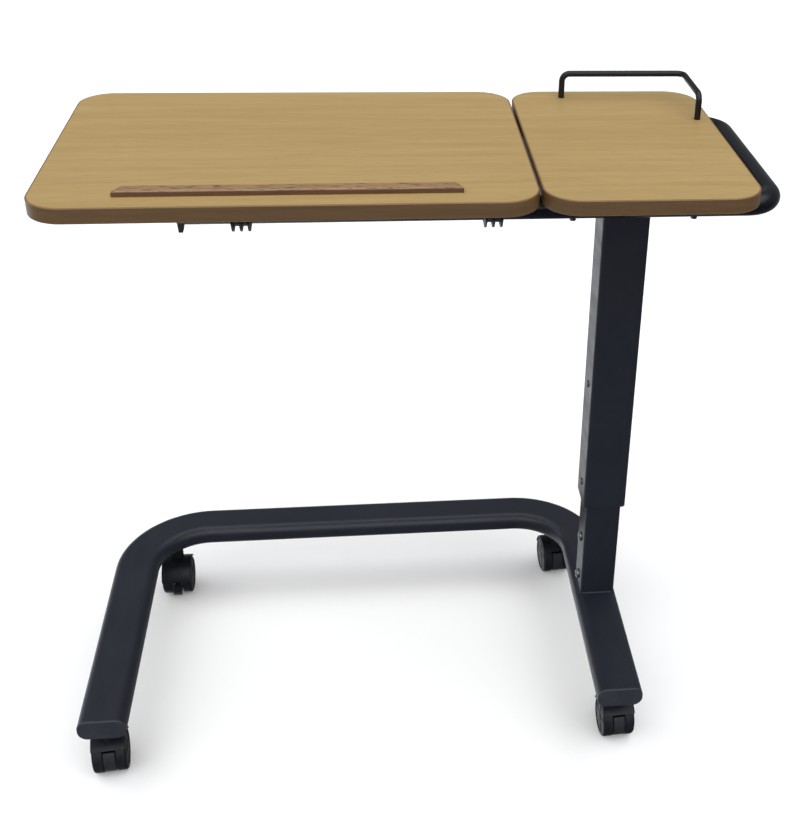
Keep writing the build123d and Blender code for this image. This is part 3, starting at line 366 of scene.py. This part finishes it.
def weld_bead(name, loop, heights, radius, body):
    """A rippled weld bead along a closed loop, each point at its own height."""
    sides, ripple = 10, 0.0021
    bm = bmesh.new()
    rings, travelled = [], 0.0
    for index, ((point, out), height) in enumerate(zip(loop, heights)):
        travelled += (point - loop[index - 1][0]).length if index else 0.0
        swell = 1.0 + 0.16 * math.sin(2 * math.pi * travelled / ripple)
        swell += 0.10 * math.sin(57.0 * travelled + 1.3)
        ring = []
        for side in range(sides):
            angle = 2 * math.pi * side / sides
            offset = out * math.cos(angle) + Vector((0.0, 0.0, math.sin(angle)))
            ring.append(bm.verts.new(Vector((point.x, point.y, height)) + offset * radius * swell))
        rings.append(ring)
    for ring, after in zip(rings, rings[1:] + rings[:1]):
        for side in range(sides):
            face = (ring[side], after[side], after[(side + 1) % sides], ring[(side + 1) % sides])
            bm.faces.new(face).smooth = True
    bmesh.ops.recalc_face_normals(bm, faces=bm.faces)
    mesh = bpy.data.meshes.new(name)
    bm.to_mesh(mesh)
    bm.free()
    return piece(name, mesh, "black_powder_coat", body)


LEG_HALF_FLAT, LEG_CORNER = 0.018, 0.013
base_low, base_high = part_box("base_tube")
leg_top = base_high.z
column_low, column_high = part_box("lower_column_tube")
right_leg_x = base_high.x - (LEG_HALF_FLAT + LEG_CORNER)


def leg_surface(x):
    """Height of the leg's top at x, falling away over its round edges."""
    over = max(0.0, abs(x - right_leg_x) - LEG_HALF_FLAT)
    return leg_top - LEG_CORNER + math.sqrt(max(0.0, LEG_CORNER ** 2 - over ** 2))


foot_loop = rounded_loop(column_low, column_high, 0.004)
foot_heights = [leg_surface(point.x) - 0.0002 for point, out in foot_loop]
weld_bead("column_foot_weld", foot_loop, foot_heights, 0.0017, "base")
head_low, head_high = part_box("upper_column_tube")
head_loop = rounded_loop(head_low, head_high, 0.005)
weld_bead("column_head_weld", head_loop, [head_high.z - 0.0003] * len(head_loop), 0.0019, "top_carriage")


WHEEL_OUTER = 0.0224
CAP_PROFILE = (
    (0.0078, -0.0006), (0.0078, 0.0000), (0.0075, 0.0003), (0.0068, 0.0004),
    (0.0064, 0.0002), (0.0050, 0.0002), (0.0047, 0.0004), (0.0020, 0.0005),
)
SPOKES, SPOKE_START = 5, 18


def wheel_cap(corner, side, joint):
    """Press-in cap over the axle end, and five shallow spokes on the wheel's dished face."""
    outward = Vector(joint["axis"]).normalized() * (1.0 if side == "right" else -1.0)
    centre = Vector(joint["pos_m"]) + outward * WHEEL_OUTER
    upward = Vector((0.0, 0.0, 1.0))
    across = upward.cross(outward)
    bm = bmesh.new()

    def place(radius, angle, height):
        around = across * math.cos(angle) + upward * math.sin(angle)
        return centre + around * radius + outward * height

    steps = 40
    rings = [[bm.verts.new(place(r, 2 * math.pi * i / steps, h)) for i in range(steps)] for r, h in CAP_PROFILE]
    for ring, after in zip(rings, rings[1:]):
        for i in range(steps):
            bm.faces.new((ring[i], ring[(i + 1) % steps], after[(i + 1) % steps], after[i])).smooth = True
    bm.faces.new(rings[0])
    bm.faces.new(rings[-1])
    for spoke in range(SPOKES):
        angle = math.radians(360 / SPOKES * spoke + SPOKE_START)
        corners = []
        for radius, half, height in ((0.0092, 0.0017, -0.0003), (0.0212, 0.0012, -0.0009)):
            turn = half / radius
            for level in (-0.0016, height + 0.0006):
                corners.append([bm.verts.new(place(radius, angle + t, level)) for t in (-turn, turn)])
        (a, b), (c, d), (e, f), (g, h) = corners
        quads = (
            (a, b, d, c), (e, g, h, f), (a, c, g, e),
            (b, f, h, d), (c, d, h, g), (a, e, f, b),
        )
        block = [bm.faces.new(quad) for quad in quads]
        edges = list({edge for face in block for edge in face.edges})
        bmesh.ops.bevel(bm, geom=edges, offset=0.0003, segments=2, affect="EDGES")
    bmesh.ops.recalc_face_normals(bm, faces=bm.faces)
    name = f"{corner}_wheel_cap_{side}"
    mesh = bpy.data.meshes.new(name)
    bm.to_mesh(mesh)
    bm.free()
    return piece(name, mesh, "caster_plastic", f"{corner}_wheel_{side}")


joints = {joint["name"]: joint for joint in frame["record"]["behaviour"]["joints"]}
for corner in CORNERS:
    for side in ("left", "right"):
        wheel_cap(corner, side, joints[f"{corner}_roll_{side}"])

# ------------------------------------------------------------------ stage and light
FLOOR_HALF = 9.0
floor_mesh = bpy.data.meshes.new("studio_floor")
floor_mesh.from_pydata(
    [
        (-FLOOR_HALF, -FLOOR_HALF, 0), (FLOOR_HALF, -FLOOR_HALF, 0),
        (FLOOR_HALF, FLOOR_HALF, 0), (-FLOOR_HALF, FLOOR_HALF, 0),
    ],
    [],
    [(0, 1, 2, 3)],
)
floor = bpy.data.objects.new("studio_floor", floor_mesh)
bpy.context.scene.collection.objects.link(floor)
paper = Shader("studio_paper")
paper.colour(paper.mix(paper.noise(3.0), (0.90, 0.90, 0.90), (0.92, 0.92, 0.92)))
paper.rough(paper.span(paper.noise(40.0), 0.85, 0.95))
paper.set(Specular_IOR_Level=0.1, Emission_Color=(1.0, 1.0, 1.0, 1.0), Emission_Strength=0.06)
floor.data.materials.append(paper.material)
floor.location.z = -0.0003
floor.visible_glossy = False


def area_light(name, place, target, size, power, tint=(1.0, 1.0, 1.0)):
    data = bpy.data.lights.new(name, "AREA")
    data.shape = "RECTANGLE"
    data.size, data.size_y = size
    data.energy = power
    data.color = tint
    light = bpy.data.objects.new(name, data)
    bpy.context.scene.collection.objects.link(light)
    aim = (Vector(target) - Vector(place)).to_track_quat("-Z", "Y")
    light.matrix_world = Matrix.Translation(place) @ aim.to_matrix().to_4x4()
    return light


area_light("left_window", (-3.4, 1.4, 1.6), (0.1, 0.0, 0.6), (1.4, 2.0), 16.0)

world = bpy.data.worlds.new("studio")
bpy.context.scene.world = world
world.use_nodes = True
sky_tree = world.node_tree
background = sky_tree.nodes["Background"]
sky_coords = sky_tree.nodes.new("ShaderNodeTexCoord")
sky_split = sky_tree.nodes.new("ShaderNodeSeparateXYZ")
sky_tree.links.new(sky_coords.outputs["Generated"], sky_split.inputs["Vector"])


def sky_ramp(source, stops, low=-1.0, high=1.0):
    spread = sky_tree.nodes.new("ShaderNodeMapRange")
    sky_tree.links.new(source, spread.inputs["Value"])
    spread.inputs["From Min"].default_value = low
    spread.inputs["From Max"].default_value = high
    ramp = sky_tree.nodes.new("ShaderNodeValToRGB")
    sky_tree.links.new(spread.outputs["Result"], ramp.inputs["Fac"])
    elements = ramp.color_ramp.elements
    while len(elements) < len(stops):
        elements.new(0.5)
    for element, (place, level) in zip(elements, stops):
        element.position = (place - low) / (high - low)
        element.color = (level * 0.97, level * 0.985, level, 1.0)
    return ramp.outputs["Color"]


# a soft box over the table and a little to the front, a dim room round it, a paler floor to the back
overhead = sky_tree.nodes.new("ShaderNodeVectorMath")
overhead.operation = "DOT_PRODUCT"
sky_tree.links.new(sky_coords.outputs["Generated"], overhead.inputs[0])
overhead.inputs[1].default_value = (0.0, -0.37, 0.93)
above = sky_ramp(overhead.outputs["Value"], [(-0.9, 0.07), (0.45, 0.10), (0.75, 1.0), (1.0, 1.0)])
below = sky_ramp(sky_split.outputs["Y"], [(-0.9, 0.05), (0.0, 0.12), (0.6, 0.56), (1.0, 0.56)])
leftward = sky_ramp(sky_split.outputs["X"], [(-0.12, 1.0), (0.10, 0.22)])
low_room = sky_tree.nodes.new("ShaderNodeMix")
low_room.data_type = "RGBA"
low_room.blend_type = "MULTIPLY"
low_room.inputs["Factor"].default_value = 1.0
sky_tree.links.new(below, low_room.inputs["A"])
sky_tree.links.new(leftward, low_room.inputs["B"])
side = sky_ramp(sky_split.outputs["Z"], [(-0.06, 0.0), (0.0, 1.0)])
sky_mix = sky_tree.nodes.new("ShaderNodeMix")
sky_mix.data_type = "RGBA"
sky_tree.links.new(side, sky_mix.inputs["Factor"])
sky_tree.links.new(low_room.outputs["Result"], sky_mix.inputs["A"])
sky_tree.links.new(above, sky_mix.inputs["B"])
# behind the floor the studio is plain pale paper; the soft box and dim room only light the table
light_path = sky_tree.nodes.new("ShaderNodeLightPath")
paper_behind = sky_tree.nodes.new("ShaderNodeMix")
paper_behind.data_type = "RGBA"
paper_behind.inputs["B"].default_value = (0.50, 0.50, 0.50, 1.0)
sky_tree.links.new(light_path.outputs["Is Camera Ray"], paper_behind.inputs["Factor"])
sky_tree.links.new(sky_mix.outputs["Result"], paper_behind.inputs["A"])
sky_tree.links.new(paper_behind.outputs["Result"], background.inputs["Color"])
background.inputs["Strength"].default_value = 2.1
bpy.context.scene.view_settings.view_transform = "Standard"
